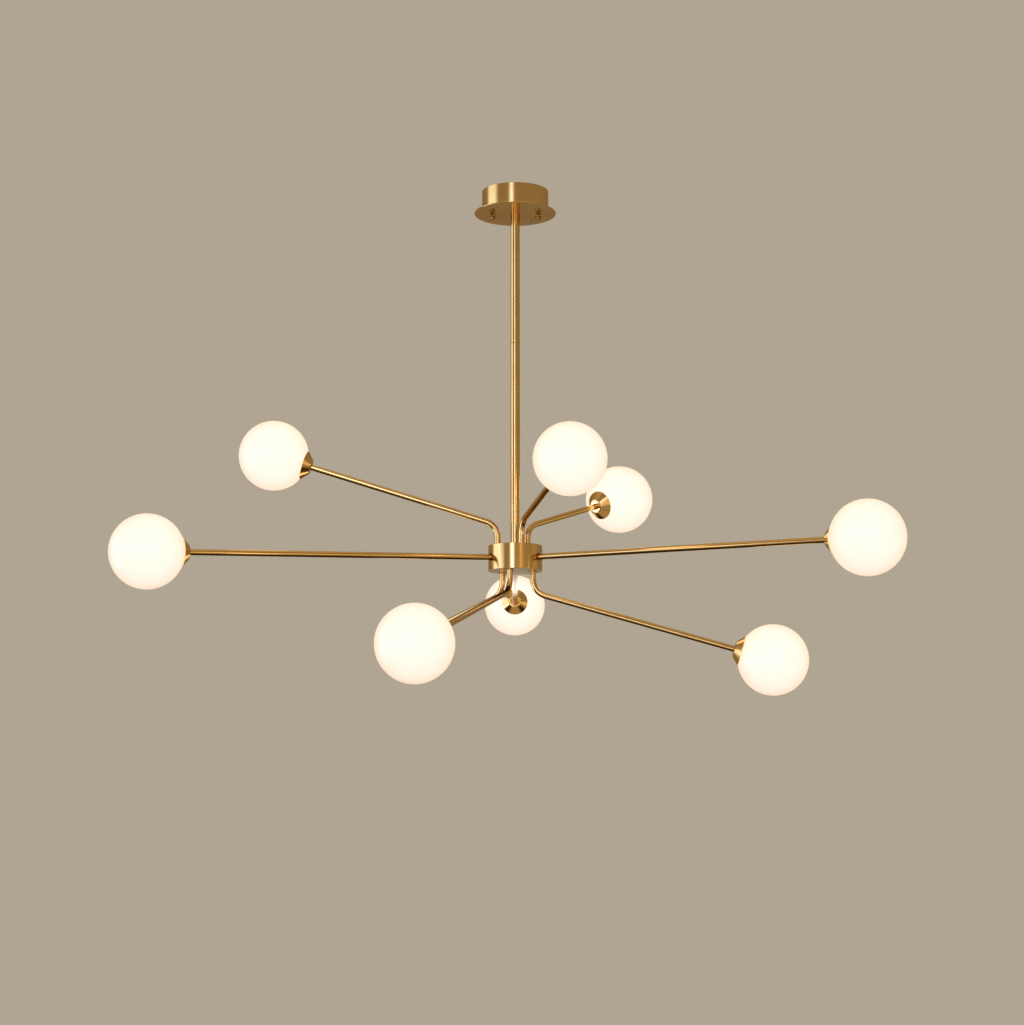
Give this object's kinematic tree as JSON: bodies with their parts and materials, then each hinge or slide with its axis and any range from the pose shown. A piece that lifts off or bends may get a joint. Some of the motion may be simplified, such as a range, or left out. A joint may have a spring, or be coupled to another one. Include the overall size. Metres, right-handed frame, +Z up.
{
  "type": "chandelier",
  "caption": "Brass chandelier: a round ceiling canopy and a stem carry a drum hub, whose straight and bent arms end in glowing opal glass globes.",
  "frame": {"origin": "on the stem's axis at the ceiling, in the middle of the bracket's slots", "axes": "+Z up into the ceiling, +X to the right and +Y to the back as pictured"},
  "size_m": [1.2427, 1.2184, 0.8946],
  "materials": {
    "satin_brass": "satin, brushed",
    "zinc_steel": "zinc plated",
    "ceramic": "glazed",
    "opal_glass": "opal, lit from inside",
    "silicone": "matt",
    "bulb_diffuser": "frosted, lit"
  },
  "bodies": {
    "fixture": {"ceiling_bracket": "zinc_steel", "canopy_studs": "zinc_steel", "canopy_drum": "satin_brass", "canopy_plate": "satin_brass", "stem_nipples": "zinc_steel", "downrod_upper": "satin_brass", "downrod_lower": "satin_brass", "hub_body": "satin_brass", "hub_cover": "satin_brass", "hub_cover_screw": "satin_brass", "hub_spacer": "zinc_steel", "locknuts": "zinc_steel", "lampholders": "ceramic", "arm_left": "satin_brass", "arm_right": "satin_brass", "arm_back": "satin_brass", "arm_upper_left": "satin_brass", "arm_upper_front": "satin_brass", "arm_upper_back": "satin_brass", "arm_lower_front": "satin_brass", "arm_lower_right": "satin_brass", "arm_lower_back": "satin_brass", "cup_left": "satin_brass", "cup_right": "satin_brass", "cup_back": "satin_brass", "cup_upper_left": "satin_brass", "cup_upper_front": "satin_brass", "cup_upper_back": "satin_brass", "cup_lower_front": "satin_brass", "cup_lower_right": "satin_brass", "cup_lower_back": "satin_brass"},
    "thumb_nut_left": {"thumb_nut_left": "satin_brass"},
    "thumb_nut_right": {"thumb_nut_right": "satin_brass"},
    "gasket_left": {"gasket_left": "silicone"},
    "globe_left": {"globe_left": "opal_glass"},
    "bulb_left": {"bulb_left": "bulb_diffuser"},
    "gasket_right": {"gasket_right": "silicone"},
    "globe_right": {"globe_right": "opal_glass"},
    "bulb_right": {"bulb_right": "bulb_diffuser"},
    "gasket_back": {"gasket_back": "silicone"},
    "globe_back": {"globe_back": "opal_glass"},
    "bulb_back": {"bulb_back": "bulb_diffuser"},
    "gasket_upper_left": {"gasket_upper_left": "silicone"},
    "globe_upper_left": {"globe_upper_left": "opal_glass"},
    "bulb_upper_left": {"bulb_upper_left": "bulb_diffuser"},
    "gasket_upper_front": {"gasket_upper_front": "silicone"},
    "globe_upper_front": {"globe_upper_front": "opal_glass"},
    "bulb_upper_front": {"bulb_upper_front": "bulb_diffuser"},
    "gasket_upper_back": {"gasket_upper_back": "silicone"},
    "globe_upper_back": {"globe_upper_back": "opal_glass"},
    "bulb_upper_back": {"bulb_upper_back": "bulb_diffuser"},
    "gasket_lower_front": {"gasket_lower_front": "silicone"},
    "globe_lower_front": {"globe_lower_front": "opal_glass"},
    "bulb_lower_front": {"bulb_lower_front": "bulb_diffuser"},
    "gasket_lower_right": {"gasket_lower_right": "silicone"},
    "globe_lower_right": {"globe_lower_right": "opal_glass"},
    "bulb_lower_right": {"bulb_lower_right": "bulb_diffuser"},
    "gasket_lower_back": {"gasket_lower_back": "silicone"},
    "globe_lower_back": {"globe_lower_back": "opal_glass"},
    "bulb_lower_back": {"bulb_lower_back": "bulb_diffuser"}
  },
  "joints": [
    {"name": "thumb_nut_left_turn", "type": "hinge", "parent": "fixture", "child": "thumb_nut_left", "pos_m": [-0.04, 0, -0.04], "axis": [0, 0, -1], "range_deg": [0, 720]},
    {"name": "thumb_nut_right_turn", "type": "hinge", "parent": "fixture", "child": "thumb_nut_right", "pos_m": [0.04, 0, -0.04], "axis": [0, 0, -1], "range_deg": [0, 720]},
    {"name": "globe_left_travel", "type": "slide", "parent": "fixture", "child": "gasket_left", "axis": [-0.9055, -0.4222, -0.0419], "range_m": [0, 0.00451]},
    {"name": "globe_left_turn", "type": "hinge", "parent": "gasket_left", "child": "globe_left", "pos_m": [-0.58004, -0.27048, -0.6719], "axis": [-0.9055, -0.4222, -0.0419], "range_deg": [0, 540]},
    {"name": "bulb_left_pull", "type": "slide", "parent": "fixture", "child": "bulb_left", "axis": [-0.9055, -0.4222, -0.0419], "range_m": [0, 0.008]},
    {"name": "globe_right_travel", "type": "slide", "parent": "fixture", "child": "gasket_right", "axis": [0.8479, -0.5298, -0.0209], "range_m": [0, 0.00451]},
    {"name": "globe_right_turn", "type": "hinge", "parent": "gasket_right", "child": "globe_right", "pos_m": [0.54275, -0.33915, -0.65944], "axis": [0.8479, -0.5298, -0.0209], "range_deg": [0, 540]},
    {"name": "bulb_right_pull", "type": "slide", "parent": "fixture", "child": "bulb_right", "axis": [0.8479, -0.5298, -0.0209], "range_m": [0, 0.008]},
    {"name": "globe_back_travel", "type": "slide", "parent": "fixture", "child": "gasket_back", "axis": [0, 0.9999, -0.014], "range_m": [0, 0.00451]},
    {"name": "globe_back_turn", "type": "hinge", "parent": "gasket_back", "child": "globe_back", "pos_m": [0, 0.64, -0.65529], "axis": [0, 0.9999, -0.014], "range_deg": [0, 540]},
    {"name": "bulb_back_pull", "type": "slide", "parent": "fixture", "child": "bulb_back", "axis": [0, 0.9999, -0.014], "range_m": [0, 0.008]},
    {"name": "globe_upper_left_travel", "type": "slide", "parent": "fixture", "child": "gasket_upper_left", "axis": [-0.9536, 0.0166, 0.3007], "range_m": [0, 0.00451]},
    {"name": "globe_upper_left_turn", "type": "hinge", "parent": "gasket_upper_left", "child": "globe_upper_left", "pos_m": [-0.41494, 0.00724, -0.46761], "axis": [-0.9536, 0.0166, 0.3007], "range_deg": [0, 540]},
    {"name": "bulb_upper_left_pull", "type": "slide", "parent": "fixture", "child": "bulb_upper_left", "axis": [-0.9536, 0.0166, 0.3007], "range_m": [0, 0.008]},
    {"name": "globe_upper_front_travel", "type": "slide", "parent": "fixture", "child": "gasket_upper_front", "axis": [0.3262, -0.8962, 0.3007], "range_m": [0, 0.00451]},
    {"name": "globe_upper_front_turn", "type": "hinge", "parent": "gasket_upper_front", "child": "globe_upper_front", "pos_m": [0.08722, -0.23962, -0.51806], "axis": [0.3262, -0.8962, 0.3007], "range_deg": [0, 540]},
    {"name": "bulb_upper_front_pull", "type": "slide", "parent": "fixture", "child": "bulb_upper_front", "axis": [0.3262, -0.8962, 0.3007], "range_m": [0, 0.008]},
    {"name": "globe_upper_back_travel", "type": "slide", "parent": "fixture", "child": "gasket_upper_back", "axis": [0.6625, 0.686, 0.3007], "range_m": [0, 0.00451]},
    {"name": "globe_upper_back_turn", "type": "hinge", "parent": "gasket_upper_back", "child": "globe_upper_back", "pos_m": [0.18756, 0.19422, -0.51333], "axis": [0.6625, 0.686, 0.3007], "range_deg": [0, 540]},
    {"name": "bulb_upper_back_pull", "type": "slide", "parent": "fixture", "child": "bulb_upper_back", "axis": [0.6625, 0.686, 0.3007], "range_m": [0, 0.008]},
    {"name": "globe_lower_front_travel", "type": "slide", "parent": "fixture", "child": "gasket_lower_front", "axis": [-0.297, -0.9142, -0.2756], "range_m": [0, 0.00451]},
    {"name": "globe_lower_front_turn", "type": "hinge", "parent": "gasket_lower_front", "child": "globe_lower_front", "pos_m": [-0.14895, -0.45841, -0.83461], "axis": [-0.297, -0.9142, -0.2756], "range_deg": [0, 540]},
    {"name": "bulb_lower_front_pull", "type": "slide", "parent": "fixture", "child": "bulb_lower_front", "axis": [-0.297, -0.9142, -0.2756], "range_m": [0, 0.008]},
    {"name": "globe_lower_right_travel", "type": "slide", "parent": "fixture", "child": "gasket_lower_right", "axis": [0.9607, -0.0335, -0.2756], "range_m": [0, 0.00451]},
    {"name": "globe_lower_right_turn", "type": "hinge", "parent": "gasket_lower_right", "child": "globe_lower_right", "pos_m": [0.43374, -0.01515, -0.82085], "axis": [0.9607, -0.0335, -0.2756], "range_deg": [0, 540]},
    {"name": "bulb_lower_right_pull", "type": "slide", "parent": "fixture", "child": "bulb_lower_right", "axis": [0.9607, -0.0335, -0.2756], "range_m": [0, 0.008]},
    {"name": "globe_lower_back_travel", "type": "slide", "parent": "fixture", "child": "gasket_lower_back", "axis": [-0.6915, 0.6677, -0.2756], "range_m": [0, 0.00451]},
    {"name": "globe_lower_back_turn", "type": "hinge", "parent": "gasket_lower_back", "child": "globe_lower_back", "pos_m": [-0.17983, 0.17367, -0.76808], "axis": [-0.6915, 0.6677, -0.2756], "range_deg": [0, 540]},
    {"name": "bulb_lower_back_pull", "type": "slide", "parent": "fixture", "child": "bulb_lower_back", "axis": [-0.6915, 0.6677, -0.2756], "range_m": [0, 0.008]}
  ],
  "couplings": [
    {"joint": "globe_left_travel", "follows": "globe_left_turn", "m_per_rad": 0.00047746},
    {"joint": "globe_right_travel", "follows": "globe_right_turn", "m_per_rad": 0.00047746},
    {"joint": "globe_back_travel", "follows": "globe_back_turn", "m_per_rad": 0.00047746},
    {"joint": "globe_upper_left_travel", "follows": "globe_upper_left_turn", "m_per_rad": 0.00047746},
    {"joint": "globe_upper_front_travel", "follows": "globe_upper_front_turn", "m_per_rad": 0.00047746},
    {"joint": "globe_upper_back_travel", "follows": "globe_upper_back_turn", "m_per_rad": 0.00047746},
    {"joint": "globe_lower_front_travel", "follows": "globe_lower_front_turn", "m_per_rad": 0.00047746},
    {"joint": "globe_lower_right_travel", "follows": "globe_lower_right_turn", "m_per_rad": 0.00047746},
    {"joint": "globe_lower_back_travel", "follows": "globe_lower_back_turn", "m_per_rad": 0.00047746}
  ]
}
